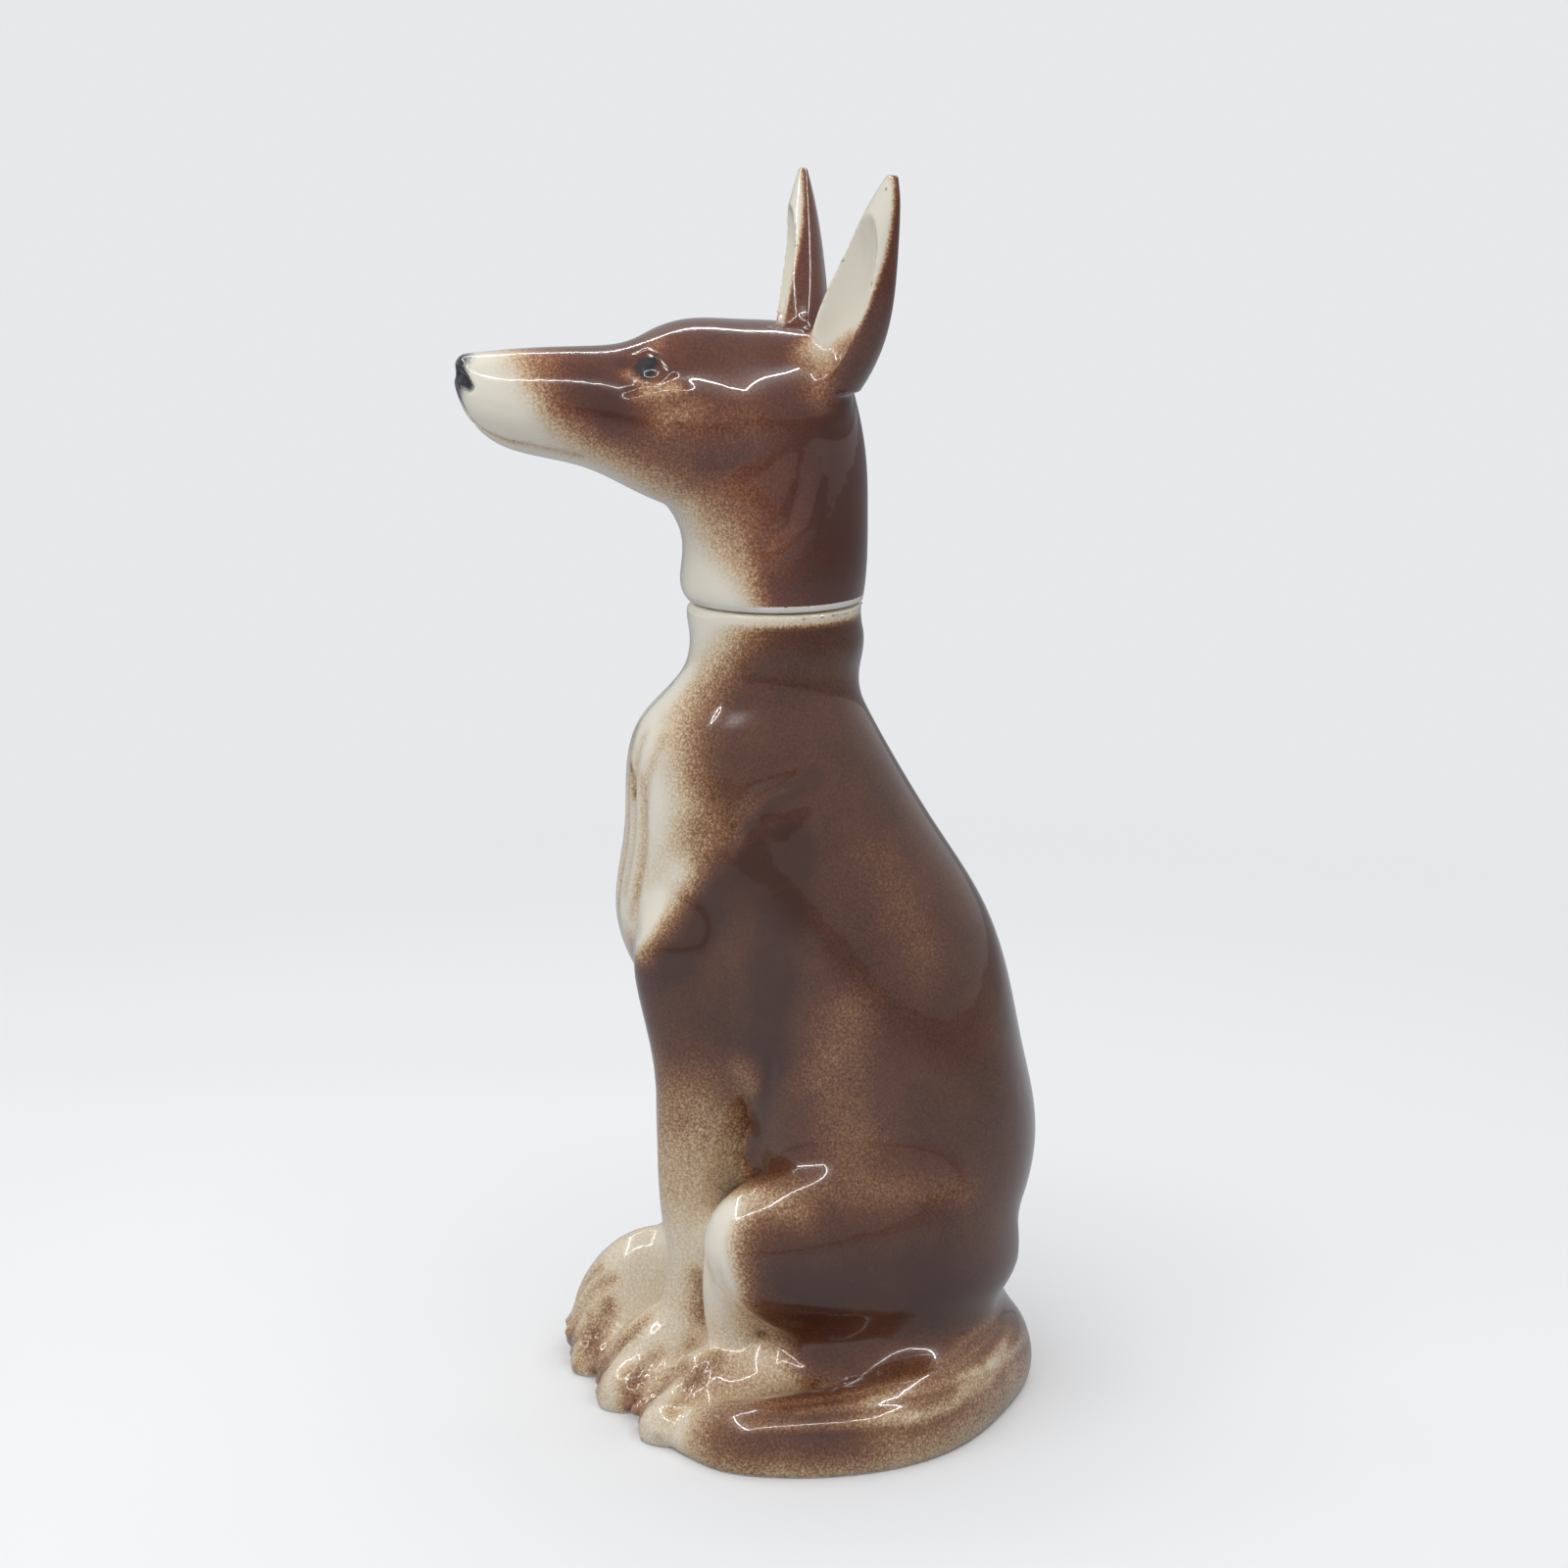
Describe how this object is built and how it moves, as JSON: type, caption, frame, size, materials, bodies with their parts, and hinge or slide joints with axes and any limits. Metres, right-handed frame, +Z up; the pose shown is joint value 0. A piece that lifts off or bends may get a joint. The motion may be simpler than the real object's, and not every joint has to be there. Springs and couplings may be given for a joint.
{
  "type": "figural liquor decanter",
  "caption": "Glazed porcelain decanter shaped as a sitting prick-eared hound; the hollow body holds the liquor and the head, on a corked peg, lifts off as the stopper.",
  "frame": {"origin": "middle of the decanter's bounding box, on the table it stands on", "axes": "+Z up along the neck, -Y the way the dog's body faces, +X the dog's left side, where the tail lies"},
  "size_m": [0.1079, 0.14, 0.2999],
  "materials": {
    "glaze_body": "gloss glaze over airbrushed brown and ivory",
    "glaze_head": "gloss glaze over airbrushed brown and ivory",
    "cork": "matt natural cork"
  },
  "bodies": {
    "vessel": {"body_vessel": "glaze_body"},
    "cork": {"cork_sleeve": "cork"},
    "head": {"head_stopper": "glaze_head"}
  },
  "joints": [
    {"name": "stopper_lift", "type": "slide", "parent": "vessel", "child": "cork", "axis": [0, 0, 1], "range_m": [0, 0.06]},
    {"name": "head_turn", "type": "hinge", "parent": "cork", "child": "head", "pos_m": [-0.0102, 0.0043, 0.199], "axis": [0, 0, 1], "continuous": true}
  ]
}
